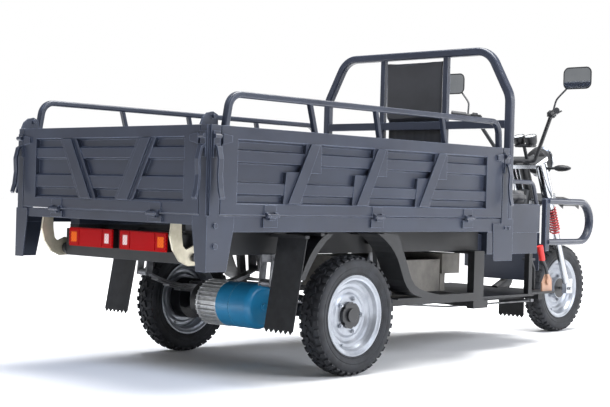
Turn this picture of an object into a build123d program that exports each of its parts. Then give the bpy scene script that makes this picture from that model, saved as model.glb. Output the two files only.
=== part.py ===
"""Electric cargo tricycle with a tipping bed, drop sides, a tailgate and a roll hoop.

Millimetres, +Z up, +Y to the front wheel, +X to the vehicle's right.
The source measures Y from the rear axle; the last step moves the origin to the middle of the footprint.
"""
import os
from math import cos, radians, sin

from build123d import *

os.makedirs("parts", exist_ok=True)

# Driving dimensions
wheelbase = 2496.0
half_track = 530.0
tyre_r = 260.0
tyre_w = 112.0
rim_r = 170.0
fork_rake = 24.0
bed_rear = -918.0
bed_half = 617.0
panel_top = 1028.0
hinge_z = 684.0
hoop_top = 1533.0
rail_top = 1165.0
post_y = wheelbase - 546.0
floor_half = bed_half - 41.0
gate_half = bed_half - 52.0
flap_in, flap_out = half_track - 88.0, half_track + 76.0
deck_z = 682.0
pivot_y = -800.0
pivot_z = 515.0
axle_z = tyre_r

parts = {}


def box(x0, x1, y0, y1, z0, z1):
    return Pos((x0 + x1) / 2, (y0 + y1) / 2, (z0 + z1) / 2) * Box(abs(x1 - x0), abs(y1 - y0), abs(z1 - z0))


def rod(a, b, r):
    a, b = Vector(*a), Vector(*b)
    return Plane(origin=(a + b) / 2, z_dir=b - a) * Cylinder(r, (b - a).length)


def cut(whole, *tools):
    rest = whole - fuse(*tools)
    return list(rest) if isinstance(rest, (list, tuple)) else rest


def plate_yz(points, x0, x1):
    face = Plane.YZ.offset(min(x0, x1)) * make_face(Polyline(*points, close=True))
    return extrude(face, abs(x1 - x0), dir=(1, 0, 0))


def plate_xz(points, y0, y1):
    flat = [(x, min(y0, y1), z) for x, z in points]
    return extrude(make_face(Polyline(*flat, close=True)), abs(y1 - y0), dir=(0, 1, 0))


def plate_xy(points, z0, z1):
    flat = [(x, y, min(z0, z1)) for x, y in points]
    return extrude(make_face(Polyline(*flat, close=True)), abs(z1 - z0), dir=(0, 0, 1))


def pipe(points, r, bend, close=False):
    path = FilletPolyline(*points, radius=bend, close=close) if bend else Polyline(*points, close=close)
    start = Plane(origin=path @ 0, z_dir=path % 0)
    return sweep(start * Circle(r), path=path)


def box_pipe(points, wide, tall, bend, side, round_r=6.0):
    """A rectangular tube along a path; wide lies along the direction side."""
    path = FilletPolyline(*points, radius=bend) if bend else Polyline(*points)
    start = Plane(origin=path @ 0, x_dir=side, z_dir=path % 0)
    return sweep(start * RectangleRounded(wide, tall, round_r), path=path)


def fuse(*solids):
    flat = []
    for item in solids:
        flat += list(item) if isinstance(item, (list, tuple)) else [item]
    whole = flat[0] if len(flat) == 1 else flat[0].fuse(*flat[1:])
    return Compound(list(whole)) if isinstance(whole, (list, tuple)) else whole


def both(make):
    """The same piece on the right (1) and on the left (-1)."""
    return [make(1), make(-1)]


def mirror_x(shape):
    return mirror(shape, about=Plane.YZ)


def keep(name, *solids):
    parts[name] = fuse(*solids)


# Wheels
tyre_profile = (
    (rim_r + 5, 0.42), (rim_r + 12, 0.43), (rim_r + 28, 0.465), (rim_r + 48, 0.50), (rim_r + 66, 0.485),
    (tyre_r - 10, 0.45), (tyre_r - 2.5, 0.36), (tyre_r, 0.12),
)


def tyre(x, y):
    right = [(r, share * tyre_w) for r, share in tyre_profile]
    ring = right + [(r, -w) for r, w in reversed(right)]
    face = make_face(Polyline(*[(w, r, 0) for r, w in ring], close=True))
    return Pos(x, y, axle_z) * revolve(face, Axis.X)


hub_r, stud_circle = 57.0, 74.0
wheel_disc = (
    (30, 8), (88, 8), (98, 2), (112, 2), (124, 12), (136, 12), (146, 22), (154, 38), (162, 40), (170, 46),
    (175, 46), (175, 42), (166, 36), (158, 34), (152, 16), (156, -34), (166, -38), (175, -42), (175, -46),
    (168, -46), (160, -40), (150, -36), (146, 10), (134, 6), (122, 6), (112, -5), (98, -5), (88, 0), (30, 0),
)


stud_angles = range(0, 360, 72)


def turn(r, angle):
    return r * cos(radians(angle)), r * sin(radians(angle))


def rim(x, y, out):
    face = make_face(Polyline(*[(w * out, r, 0) for r, w in wheel_disc], close=True))
    disc = revolve(face, Axis.X)
    hub = rod((-6 * out, 0, 0), (24 * out, 0, 0), hub_r)
    hub -= Compound([rod((10 * out, *turn(hub_r + 4, a)), (30 * out, *turn(hub_r + 4, a)), 10) for a in stud_angles])
    cap = rod((20 * out, 0, 0), (34 * out, 0, 0), 30)
    studs = [rod((0, *turn(stud_circle, a)), (24 * out, *turn(stud_circle, a)), 6) for a in stud_angles]
    nuts = [Pos(8 * out, *turn(stud_circle, a)) * Rot(0, 90 * out, 0) * extrude(RegularPolygon(10, 6), 10)
            for a in stud_angles]
    valve = rod((2 * out, *turn(128, 250)), (20 * out, *turn(136, 250)), 4)
    return Pos(x, y, axle_z) * fuse(disc, hub, cap, valve, *studs, *nuts)


for name, x, out in (("right", half_track, 1), ("left", -half_track, -1)):
    keep(f"rear_tyre_{name}", tyre(x, 0))
    keep(f"rear_rim_{name}", rim(x, 0, out))
keep("front_tyre", tyre(0, wheelbase))
front_hub = [rod((-38, wheelbase, axle_z), (38, wheelbase, axle_z), 62)]
keep("front_rim", rim(0, wheelbase, 1), *front_hub)

# Chassis
rail_in, rail_out = 345.0, 405.0
rail_low, rail_high = 520.0, 620.0
rail_back, rail_front = -782.0, 1130.0


def chassis_rail(s):
    tube = box(s * rail_in, s * rail_out, rail_back, rail_front, rail_low, rail_high)
    lug = fuse(rod((s * 382, pivot_y, pivot_z), (s * rail_out, pivot_y, pivot_z), 24),
               box(s * 382, s * rail_out, pivot_y, -700, pivot_z - 24, rail_low + 4))
    pin = rod((s * 380, pivot_y, pivot_z), (s * 428, pivot_y, pivot_z), 9)
    head = rod((s * 424, pivot_y, pivot_z), (s * 434, pivot_y, pivot_z), 17)
    return fuse(tube, lug, pin, head)


keep("chassis_rails", *both(chassis_rail))

cross_rows = ((-640, 540, 600), (-420, 540, 600), (330, 540, 600), (720, 540, 600), (1080, 540, 600))
keep("cross_members", *[box(-rail_in, rail_in, y - 25, y + 25, z0, z1) for y, z0, z1 in cross_rows])

low_in, low_out, low_z0, low_z1 = 430.0, 470.0, 275.0, 315.0


def lower_side(s):
    bar = box(s * low_in, s * low_out, 300, 1095, low_z0, low_z1)
    post = box(s * low_in, s * low_out, 1012, 1095, low_z1, 520)
    shelf = box(s * rail_in, s * low_out, 1012, 1095, 505, rail_low)
    riser = plate_yz([(300, 315), (340, 315), (300, 590), (262, 590)], s * 434, s * 458)
    hanger = box(s * rail_out, s * 458, 262, 300, 560, 590)
    step = box(s * 400, s * 566, 300, 480, low_z1, low_z1 + 6)
    return fuse(bar, post, shelf, riser, hanger, step)


tray = [box(-low_in, low_in, y, y + 40, 285, 315) for y in (620, 920)]
keep("lower_frame", *both(lower_side), *tray)

rake = radians(fork_rake)
axis_up = (0.0, -sin(rake), cos(rake))
trail_offset = 40.0
axis_point = (0.0, wheelbase - trail_offset * cos(rake), axle_z - trail_offset * sin(rake))


def on_axis(t, side=0.0, ahead=0.0):
    """A point t up the steering axis, side to the right and ahead square to the axis."""
    return (side, axis_point[1] + t * axis_up[1] + ahead * cos(rake),
            axis_point[2] + t * axis_up[2] + ahead * sin(rake))


head_low, head_high = 606.0, 798.0
floor_z = 284.0
head_tube = rod(on_axis(head_low), on_axis(head_high), 30)
floor_low = floor_z - 12.0
frame_low = floor_low - 36.0
floor_back, floor_front = 1095.0, post_y - 15.0
nose_y = post_y + 86.0
neck = pipe([(0, post_y - 70, 262), (0, post_y + 35, 306), (0, on_axis(690)[1] - 20, on_axis(690)[2] - 40)], 34, 40)
spine = fuse(box(-60, 60, floor_back, nose_y, 240, floor_low), box(-86, 86, nose_y, nose_y + 8, 225, floor_low))
guard_bar = fuse(rod((-262, post_y - 5, 525), (262, post_y - 5, 525), 14),
                 box(-20, 20, post_y - 5, post_y + 125, 512, 538))
floor_bars = [box(s * 160, s * 200, floor_back, post_y - 50, frame_low, floor_low) for s in (1, -1)]
floor_cross = [box(-low_out, low_out, floor_back, floor_back + 40, frame_low, floor_low),
               box(-300, 300, post_y - 90, post_y - 50, frame_low, floor_low)]
seat_legs = [box(s * 380, s * 410, 1590, 1620, floor_z, 500) for s in (1, -1)]
low_join = [box(s * low_in, s * low_out, 1012, floor_back + 40, frame_low, low_z0) for s in (1, -1)]
front_frame = fuse(head_tube, neck, spine, guard_bar, *floor_bars, *floor_cross, *low_join)
keep("front_frame", cut(front_frame, rod(on_axis(head_low - 60), on_axis(head_high + 60), 16.5)))

floor_wide, floor_narrow, taper_y = 410.0, 355.0, post_y - 250.0
floor_outline = [(-floor_wide, 1100), (floor_wide, 1100), (floor_wide, taper_y - 60), (floor_narrow, taper_y),
                 (floor_narrow, floor_front), (-floor_narrow, floor_front), (-floor_narrow, taper_y),
                 (-floor_wide, taper_y - 60)]
neck_slot = box(-42, 42, post_y - 120, floor_front + 5, floor_low - 12, floor_z + 16)
keep("footboard", cut(plate_xy(floor_outline, floor_low, floor_z), neck_slot), *seat_legs)


def leg_guard(s):
    x, back, ahead = s * 278, post_y, post_y + 500
    loop = box_pipe([(x, back, 760), (x, ahead, 760), (x, ahead, 557), (x, back, 557)], 32, 40, 96, (1, 0, 0), 12)
    plate = box(s * 262, s * 294, back - 25, back + 15, 500, 790)
    return fuse(loop, plate)


keep("leg_guards", *both(leg_guard))

keep("rear_beam", box(-375, 375, -822, -782, 487, 602) - box(-371, 371, -818, -782, 492, 597))


def lamp(s):
    body = fillet(box(s * 22, s * 318, -850, -822, 530, 608).edges().filter_by(Axis.Y), 6)
    lens = [fillet(box(s * a, s * b, -854, -850, 534, 604).edges().filter_by(Axis.Y), 4)
            for a, b in ((26, 88), (92, 244), (248, 314))]
    screws = [rod((s * a, -857, 569), (s * a, -850, 569), 4) for a in (90, 246)]
    return fuse(body, *lens, *screws)


keep("tail_lamps", *both(lamp))

axle_tube = rod((-470, 0, axle_z), (470, 0, axle_z), 30)
motor_y, motor_z = -165.0, 275.0
case = fuse(rod((-205, 0, axle_z), (10, 0, axle_z), 52), rod((-205, 0, axle_z), (-150, 0, axle_z), 72),
            rod((-205, motor_y, motor_z), (-150, motor_y, motor_z), 84),
            plate_yz([(0, axle_z + 72), (motor_y, motor_z + 84), (motor_y, motor_z - 84), (0, axle_z - 72)], -205, -150))
drums = [fuse(rod((s * 452, 0, axle_z), (s * 519, 0, axle_z), 96), rod((s * 519, 0, axle_z), (s * 524, 0, axle_z), 26))
         for s in (1, -1)]
spring_seats = [box(s * 372, s * 422, -45, 45, axle_z - 34, axle_z + 34) for s in (1, -1)]
keep("rear_axle", axle_tube, case, *drums, *spring_seats)

motor_r, fin_r = 90.0, 104.0
fins = [Pos(-85, motor_y, motor_z) * Rot(a, 0, 0) * Pos(0, 0, (motor_r + fin_r) / 2 - 2) *
        Box(130, 4, fin_r - motor_r + 4) for a in range(0, 360, 12)]
end_rings = [rod((x, motor_y, motor_z), (x + 10, motor_y, motor_z), 100) for x in (-150, -30)]
keep("motor_body", rod((-150, motor_y, motor_z), (-20, motor_y, motor_z), motor_r), *fins, *end_rings)
bell = fillet(rod((-20, motor_y, motor_z), (184, motor_y, motor_z), 101).edges().sort_by(Axis.X)[-1], 30)
groove = rod((60, motor_y, motor_z), (66, motor_y, motor_z), 110) - rod((50, motor_y, motor_z), (76, motor_y, motor_z), 98)
keep("motor_cap", cut(bell, groove), rod((184, motor_y, motor_z), (194, motor_y, motor_z), 14))

leaf_rows = ((-360, 360, 0), (-300, 300, 9), (-230, 230, 18), (-160, 160, 27))


leaf_in, leaf_out = 374.0, 420.0
eye_y, eye_z = 364.0, axle_z + 140.0
leaf_top, leaf_t, leaf_sag = axle_z + 74.0, 8.0, 70.0
seat_half = 50.0


def leaf_spring(s):
    leaves = []
    for back, ahead, drop in leaf_rows:
        ys = [back * f for f in (1, 0.8, 0.6, 0.4)] + [-seat_half, seat_half] + [ahead * f for f in (0.4, 0.6, 0.8, 1)]
        top = [(y, leaf_top - drop + leaf_sag * (max(abs(y) - seat_half, 0) / (360 - seat_half)) ** 2) for y in ys]
        under = [(y, z - leaf_t) for y, z in reversed(top)]
        leaves.append(plate_yz(top + under, s * leaf_in, s * leaf_out))
    eyes = [rod((s * (leaf_in - 2), y, eye_z), (s * (leaf_out + 2), y, eye_z), 16) for y in (-eye_y, eye_y)]
    pad = box(s * leaf_in, s * leaf_out, -40, 40, axle_z + 34, axle_z + 44)
    holes = [rod((s * 350, y, eye_z), (s * 445, y, eye_z), 8.3) for y in (-eye_y, eye_y)]
    return cut(fuse(*leaves, *eyes, pad), *holes)


keep("leaf_springs", *both(leaf_spring))


def spring_fittings(s):
    clamp = [rod((s * x, y, axle_z - 44), (s * x, y, axle_z + 88), 6) for x in (364, 430) for y in (-38, 38)]
    clamp += [box(s * 356, s * 438, -48, 48, z, z + 10) for z in (axle_z + 74, axle_z - 44)]
    bolts = [rod((s * 356, y, z), (s * 438, y, z), 8) for y, z in ((-eye_y, eye_z), (eye_y, eye_z), (-352, 500))]
    link = [(-eye_y - 18, eye_z - 12), (-eye_y + 18, eye_z - 12), (-334, 512), (-370, 512)]
    hanger = [(eye_y - 24, eye_z - 10), (eye_y + 24, eye_z - 10), (eye_y + 36, rail_low), (eye_y - 34, rail_low)]
    plates = [plate_yz(link, s * x, s * (x + 6)) for x in (362, 424)]
    plates += [plate_yz(hanger, s * x, s * (x + 6)) for x in (362, 424)]
    block = box(s * 372, s * 422, -372, -332, 488, rail_low)
    return fuse(*clamp, *bolts, *plates, block)


keep("spring_fittings", *both(spring_fittings))

# moulded arches, one ahead of the wheel and one behind it, each a strip with an outer valance
arch_in, arch_out, arch_top = half_track - 50.0, half_track + 70.0, 612.0
ahead_line = ((110, arch_top), (182, 570), (250, 500), (296, 410), (350, 350), (420, 330), (560, 328))
ahead_edge = ((560, 333), (430, 358), (372, 386), (322, 470), (285, 540), (244, arch_top))
behind_line = ((-212, arch_top), (-286, 560), (-338, 490), (-372, 424))
behind_edge = ((-350, 424), (-314, 484), (-262, 548), (-182, arch_top))


def arch_strip(line, step):
    path = Spline(*line)
    low = [path @ (k / 16) for k in range(17)]
    tangents = [path % (k / 16) for k in range(17)]
    high = [(p.X - t.Y * step, p.Y + t.X * step) for p, t in zip(low, tangents)]
    return [(p.X, p.Y) for p in low], high


def fender(s):
    pieces = []
    for line, edge, step in ((ahead_line, ahead_edge, 5.0), (behind_line, behind_edge, -5.0)):
        low, high = arch_strip(line, step)
        pieces.append(plate_yz(low + high[::-1], s * arch_in, s * arch_out))
        rim_edge = Spline(*edge)
        valance = low + [((rim_edge @ (k / 12)).X, (rim_edge @ (k / 12)).Y) for k in range(13)]
        pieces.append(plate_yz(valance, s * (arch_out - 5), s * arch_out))
    pieces += [box(s * rail_out, s * arch_out, 150, 176, 604, 616), box(s * rail_out, s * arch_out, -260, -236, 604, 616)]
    return fuse(*pieces)


keep("rear_fenders", *both(fender))


def serrated(x0, x1, z_top, z_low, teeth):
    step = (x1 - x0) / teeth
    pts = [(x0, z_top), (x0, z_low)]
    for k in range(teeth):
        pts += [(x0 + (k + 0.5) * step, z_low - 16), (x0 + (k + 1) * step, z_low)]
    return pts + [(x1, z_top)]


def rear_flap(s):
    half = plate_xz(serrated(flap_in, flap_out, 600, 214, 6), -350, -346)
    half = Pos(0, -348, 600) * Rot(-10.5, 0, 0) * Pos(0, 348, -600) * half
    return (half if s > 0 else mirror_x(half)), box(s * rail_out, s * flap_out, -360, -336, 594, 606)


front_flap = plate_xz(serrated(-86, 86, floor_low - 6, 122, 6), nose_y + 8, nose_y + 12)
keep("mud_flaps", *rear_flap(1), *rear_flap(-1), front_flap)

keep("battery_pack", box(-300, 300, 600, 955, 315, 472), box(-300, -20, 975, 1120, 400, 500),
     box(20, 300, 975, 1120, 400, 500), box(-300, 300, 960, 1000, 315, 400))
keep("seat_box",
     box(-450, 450, 1150, 1618, 610, 757), box(-440, 440, 1156, 1612, 500, 610),
     *[pipe([(s * 438, 1210, 750), (s * 438, 1210, 872), (s * 438, 1560, 872), (s * 438, 1605, 750)], 11, 40)
       for s in (1, -1)],
     *[box(s * rail_in, s * rail_out, rail_front, 1156, rail_low, 600) for s in (1, -1)])
keep("seat_cushion", fillet((box(-410, 410, 1165, 1600, 757, 830)).edges().filter_by(Axis.Y), 22))

control_y = post_y - 65.0
keep("hand_controls",
     plate_yz([(control_y - 49, floor_z), (control_y + 49, floor_z), (control_y + 45, 340), (control_y + 20, 374),
               (control_y - 19, 374), (control_y - 49, 330)], 330, 338),
     rod((338, control_y, 340), (352, control_y, 340), 22),
     pipe([(346, control_y, 340), (346, control_y - 35, 420), (346, control_y - 73, 462)], 9, 30),
     rod((346, control_y - 70, 455), (346, control_y - 97, 532), 17),
     pipe([(240, control_y + 15, floor_z), (240, control_y + 15, 400), (240, control_y - 23, 452)], 8, 30),
     box(215, 265, control_y - 70, control_y - 13, 448, 460))

keep("brake_lines",
     pipe([(335, 60, 285), (335, 640, 262), (240, 1100, 225), (240, post_y - 88, 225)], 5, 60),
     rod((335, 60, 285), (452, 60, 285), 7), box(230, 250, post_y - 88, post_y - 60, 218, frame_low))

# Tipping bed
keep("bed_floor", box(-floor_half, floor_half, -868, 1078, 676, deck_z))


def bed_beam(s):
    return fuse(box(s * rail_in, s * rail_out, -780, 1078, rail_high, 676),
                box(s * rail_in, s * rail_out, -868, -780, 648, 676))


cross_spans = ((-floor_half, -rail_out), (-rail_in, rail_in), (rail_out, floor_half))
keep("bed_beams", *both(bed_beam))
keep("bed_cross_beams", *[box(x0, x1, y - 20, y + 20, 636, 676) for y in range(-560, 841, 280) for x0, x1 in cross_spans])

sill_x = bed_half - 5
hinge_ys = (-581.0, 77.0, 739.0)
pin_x, pin_z = bed_half + 15, hinge_z + 2


def side_sill(s):
    channel = box(s * floor_half, s * sill_x, bed_rear + 5, 1113, 622, hinge_z)
    leaves = []
    for y in hinge_ys:
        leaves += [box(s * sill_x, s * (bed_half + 4), y - 40, y + 40, 640, 676),
                   rod((s * pin_x, y - 15, pin_z), (s * pin_x, y + 15, pin_z), 9),
                   rod((s * pin_x, y - 34, pin_z), (s * pin_x, y + 34, pin_z), 4.5),
                   box(s * (bed_half - 1), s * pin_x, y - 15, y + 15, 668, pin_z - 5)]
    return fuse(channel, *leaves)


gate_hinges = (-320.0, 320.0)
gate_y, gate_z = bed_rear - 15, hinge_z + 2
rear_sill = [box(-floor_half, floor_half, bed_rear + 5, -868, 648, hinge_z)]
for x in gate_hinges:
    rear_sill += [box(x - 40, x + 40, bed_rear - 4, bed_rear + 5, 652, 676),
                  rod((x - 15, gate_y, gate_z), (x + 15, gate_y, gate_z), 9),
                  rod((x - 34, gate_y, gate_z), (x + 34, gate_y, gate_z), 4.5),
                  box(x - 15, x + 15, gate_y, bed_rear + 1, 668, gate_z - 5)]
front_sill = box(-floor_half, floor_half, 1078, 1112, 622, hinge_z)
keep("bed_sills", *both(side_sill), *rear_sill, front_sill)


def bolt_x(s, y, z, r=9):
    return rod((s * (bed_half - 3), y, z), (s * (bed_half + 7), y, z), r)


def rear_post(s):
    rear_leg = box(s * (bed_half - 47), s * (bed_half - 9), bed_rear, -884, hinge_z, panel_top)
    side_leg = box(s * (bed_half - 37), s * bed_half, -906, -856, hinge_z, panel_top)
    skirt_side = plate_yz([(bed_rear, hinge_z), (-777, hinge_z), (-777, 640), (-812, 471), (bed_rear, 471)],
                          s * sill_x, s * bed_half)
    skirt_rear = plate_xz([(s * bed_half, hinge_z), (s * bed_half, 471), (s * (bed_half - 55), 471),
                           (s * (bed_half - 82), 640), (s * (bed_half - 82), hinge_z)], bed_rear, bed_rear + 5)
    lug = plate_yz([(-930, panel_top), (-918, 1056), (-896, 1074), (-868, 1080), (-844, 1070), (-840, panel_top)],
                   s * (bed_half - 43), s * (bed_half - 35))
    lug_bolt = rod((s * (bed_half - 51), -868, 1062), (s * (bed_half - 21), -868, 1062), 8)
    bolts = [bolt_x(s, -877, z, 11) for z in (568, 646)]
    return fuse(rear_leg, side_leg, skirt_side, skirt_rear, lug, lug_bolt, *bolts)


def front_post(s):
    channel = box(s * (bed_half - 40), s * bed_half, 1022, 1073, hinge_z, panel_top)
    skirt = plate_yz([(1020, hinge_z), (1118, hinge_z), (1118, 480), (960, 480), (950, 661), (1020, 661)],
                     s * sill_x, s * bed_half)
    return fuse(channel, skirt, bolt_x(s, 1050, 640), bolt_x(s, 1080, 640))


keep("rear_posts", *both(rear_post))
keep("front_posts", *both(front_post))


def ribbed(rows, x_flat, x_deep, wall=2.5, slope=7.0):
    """Folded sheet section in (depth, height), read from the bottom up."""
    outer = []
    for kind, z0, z1 in rows:
        d = x_flat if kind == "flat" else x_deep
        outer += [(d, z0 + (slope / 2 if outer else 0)), (d, z1 - slope / 2)]
    outer[-1] = (outer[-1][0], rows[-1][2])
    return outer + [(d - wall, z) for d, z in reversed(outer)]


side_rows = (("flat", 724, 736), ("deep", 736, 766), ("flat", 766, 815), ("deep", 815, 890), ("flat", 890, 940),
             ("deep", 940, 974), ("flat", 974, 988))
frame_in = bed_half - 30
side_back, side_front = -850.0, 1015.0
rib_back, rib_front = -765.0, 887.0
panel_low = hinge_z + 5
brace_rows = ((-451, -331), (-31, 94), (397, 527))


def side_panel(s):
    frame = [box(s * frame_in, s * bed_half, side_back, side_front, panel_low, 731),
             box(s * frame_in, s * bed_half, side_back, side_front, 980, panel_top),
             box(s * frame_in, s * bed_half, side_back, rib_back, 731, 980),
             box(s * frame_in, s * bed_half, rib_front, side_front, 731, 980)]
    section = [(s * d, z) for d, z in ribbed(side_rows, bed_half - 5, bed_half - 20)]
    sheet = plate_xz(section, rib_back, rib_front)
    braces = []
    for low_y, top_y in brace_rows:
        flange = [(low_y - 55, 733), (low_y + 55, 733), (low_y + 62, 860), (top_y + 45, 862), (top_y + 45, 980),
                  (top_y - 45, 980), (top_y - 62, 862), (low_y - 40, 860)]
        hat = [(low_y - 34, 735), (low_y + 34, 735), (top_y + 27, 978), (top_y - 27, 978)]
        braces += [plate_yz(flange, s * (bed_half - 20), s * (bed_half - 2)),
                   plate_yz(hat, s * (bed_half - 2), s * (bed_half + 8))]
    leaves = []
    for y in hinge_ys:
        for side in (-1, 1):
            leaves += [rod((s * pin_x, y + side * 17, pin_z), (s * pin_x, y + side * 32, pin_z), 9)
                       - rod((s * pin_x, y + side * 16, pin_z), (s * pin_x, y + side * 33, pin_z), 5)]
            leaves.append(box(s * bed_half, s * (pin_x - 2), y + side * 17, y + side * 32, pin_z + 5.5, pin_z + 14))
        leaves.append(box(s * bed_half, s * (bed_half + 4), y - 34, y + 34, pin_z + 8, 728))
    tabs = [plate_yz([(-850, 955), (-802, 966), (-802, 990), (-850, 996)], s * bed_half, s * (bed_half + 8)),
            plate_yz([(1015, 955), (967, 966), (967, 990), (1015, 996)], s * bed_half, s * (bed_half + 8))]
    return fuse(*frame, sheet, *braces, *leaves, *tabs)


right_panel = side_panel(1)
keep("side_panel_right", right_panel)
keep("side_panel_left", mirror_x(right_panel))

stanchions = ((-315, -354), (96, 63), (567, 534))


def guard_rail(s):
    x = s * (bed_half - 15)
    path = [(x, -822, panel_top), (x, -800, rail_top - 13), (x, 990, rail_top - 13), (x, 1000, panel_top)]
    rail = box_pipe([(x, -823, panel_top - 6)] + path[1:-1] + [(x, 1000.5, panel_top - 6)], 30, 25, 62, (1, 0, 0), 7)
    posts = [box_pipe([(x, low, panel_top - 5), (x, top, rail_top - 14)], 22, 18, 0, (1, 0, 0), 3)
             for low, top in stanchions]
    return cut(fuse(rail, *posts), box(x - 40, x + 40, -900, 1100, panel_top - 30, panel_top))


keep("guard_rail_right", guard_rail(1))
keep("guard_rail_left", guard_rail(-1))

gate_rib = gate_half - 85.0
gate_rows = (("flat", 724, 740), ("deep", 740, 775), ("flat", 775, 832), ("deep", 832, 899), ("flat", 899, 946),
             ("deep", 946, 980), ("flat", 980, 990))
gate_in = bed_rear + 30
gate_parts = [box(-gate_half, gate_half, bed_rear, gate_in, panel_low, 731),
              box(-gate_half, gate_half, bed_rear, gate_in, 984, panel_top),
              box(-gate_half, -gate_rib, bed_rear, gate_in, 731, 984),
              box(gate_rib, gate_half, bed_rear, gate_in, 731, 984)]
gate_section = [(-d, z) for d, z in ribbed(gate_rows, -(bed_rear + 5), -(bed_rear + 20))]
gate_parts.append(plate_yz(gate_section, -gate_rib, gate_rib))
for s in (1, -1):
    flange = [(s * 60, 733), (s * 175, 733), (s * 310, 982), (s * 200, 982)]
    hat = [(s * 86, 735), (s * 152, 735), (s * 284, 980), (s * 226, 980)]
    gate_parts += [plate_xz(flange, bed_rear + 2, bed_rear + 20), plate_xz(hat, bed_rear - 8, bed_rear + 2)]
    gate_parts.append(plate_xz([(s * gate_half, 955), (s * (gate_half - 48), 966), (s * (gate_half - 48), 990),
                                (s * gate_half, 996)], bed_rear - 8, bed_rear))
for x in gate_hinges:
    for side in (-1, 1):
        gate_parts += [rod((x + side * 17, gate_y, gate_z), (x + side * 32, gate_y, gate_z), 9)
                       - rod((x + side * 16, gate_y, gate_z), (x + side * 33, gate_y, gate_z), 5),
                       box(x + side * 17, x + side * 32, gate_y + 2, bed_rear, gate_z + 5.5, gate_z + 14)]
    gate_parts.append(box(x - 34, x + 34, bed_rear - 4, bed_rear, gate_z + 8, 728))
keep("tailgate", *gate_parts)

front_half, front_rib = bed_half - 45.0, bed_half - 137.0
keep("bulkhead",
     box(-front_half, front_half, 1078, 1106, hinge_z, 731), box(-front_half, front_half, 1078, 1106, 984, panel_top),
     box(-front_half, -front_rib, 1078, 1106, 731, 984), box(front_rib, front_half, 1078, 1106, 731, 984),
     plate_yz(ribbed(gate_rows, 1100, 1085), -front_rib, front_rib))

hoop_y, leg_x = 1093.0, bed_half - 20
shoulder_z = hoop_top - 248.0
cross_top = hoop_top - 366.0
cross_low = cross_top - 39.0
back_half = 192.0
keep("roll_hoop",
     box_pipe([(-leg_x, hoop_y, hinge_z), (-leg_x, hoop_y, shoulder_z), (-leg_x + 127, hoop_y, hoop_top - 20),
               (leg_x - 127, hoop_y, hoop_top - 20), (leg_x, hoop_y, shoulder_z), (leg_x, hoop_y, hinge_z)],
              40, 40, 120, (0, 1, 0), 9),
     box(-leg_x + 12, leg_x - 12, hoop_y - 17, hoop_y + 17, cross_low, cross_top),
     *[box(s * back_half, s * (back_half + 28), hoop_y - 12, hoop_y + 12, panel_top, hoop_top - 34) for s in (1, -1)])
keep("backrest", box(-back_half, back_half, hoop_y - 8, hoop_y + 10, cross_top, hoop_top - 45),
     box(-back_half, back_half, hoop_y + 17, hoop_y + 25, panel_top - 68, cross_top),
     box(-back_half, back_half, hoop_y + 8, hoop_y + 25, cross_top, cross_top + 13))

hook = [(-918, 648), (-925, 600), (-908, 545), (-872, 500), (-830, 482), (-790, 484), (-768, 502), (-766, 532),
        (-782, 556), (-802, 562), (-824, 553), (-842, 546), (-858, 560), (-866, 600), (-868, 648)]


def tipping_hinge(s):
    return plate_yz(hook, s * 411, s * 421) - rod((s * 405, pivot_y, pivot_z), (s * 430, pivot_y, pivot_z), 9.5)


keep("tipping_hinges", *both(tipping_hinge))

lever_curve = ((0, 0), (22, -12), (34, -60), (30, -120), (36, -170), (46, -205), (40, -212), (28, -176), (22, -120),
               (25, -60), (14, -20), (0, -14))


def side_lever(s, y0, y1):
    arm = plate_xz([(s * (bed_half + a), 958 + b) for a, b in lever_curve], y0 + 4, y1 - 4)
    base = box(s * bed_half, s * (bed_half + 6), y0, y1, 905, 1005)
    eye = rod((s * (bed_half + 10), y0, 985), (s * (bed_half + 10), y1, 985), 9)
    return [arm, base, eye]


def gate_lever(s):
    arm = plate_yz([(bed_rear - a, 958 + b) for a, b in lever_curve], s * (bed_half - 39), s * (bed_half - 17))
    base = box(s * (bed_half - 43), s * (bed_half - 13), bed_rear - 6, bed_rear, 905, 1005)
    eye = rod((s * (bed_half - 43), bed_rear - 10, 985), (s * (bed_half - 13), bed_rear - 10, 985), 9)
    return [arm, base, eye]


levers = []
for s in (1, -1):
    levers += side_lever(s, -898, -866) + side_lever(s, 1028, 1060) + gate_lever(s)
keep("toggle_levers", *levers)

# Steering
leg_side = 92.0
lead = trail_offset
coil_low, coil_high = 366.0, 526.0
shroud_low, shroud_high = 598.0, 806.0
fork_parts = [rod((s * 38, wheelbase, axle_z), (s * 118, wheelbase, axle_z), 9) for s in (1, -1)]
for s in (1, -1):
    x = s * leg_side
    fork_parts += [rod(on_axis(40, x, lead), on_axis(coil_low, x, lead), 21),
                   rod(on_axis(shroud_low, x, lead), on_axis(shroud_high, x, lead), 34),
                   rod(on_axis(coil_high, x, lead), on_axis(shroud_low, x, lead), 27),
                   rod(on_axis(coil_low - 4, x, lead), on_axis(coil_high + 4, x, lead), 14),
                   box(x - 14, x + 14, wheelbase - 34, wheelbase + 34, axle_z - 26, axle_z + 60)]
stem = rod(on_axis(head_low - 30), on_axis(head_high + 30), 16)


def crown(t0, t1, width, back, front):
    mid = Vector(*on_axis((t0 + t1) / 2, 0, (front - back) / 2))
    return Plane(origin=mid, x_dir=(1, 0, 0), z_dir=axis_up) * Box(width, back + front, t1 - t0)


fork_parts += [stem, crown(head_low - 36, head_low - 8, 236, 26, 80), crown(head_high + 8, head_high + 32, 236, 52, 80),
               rod(on_axis(head_high + 20, 0, 78), on_axis(head_high + 20, 0, 118), 12)]
keep("fork", *fork_parts)
keep("fork_springs", *[rod(on_axis(coil_low, s * leg_side, lead), on_axis(coil_high, s * leg_side, lead), 33)
                       - rod(on_axis(coil_low - 1, s * leg_side, lead), on_axis(coil_high + 1, s * leg_side, lead), 14)
                       for s in (1, -1)])

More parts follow.
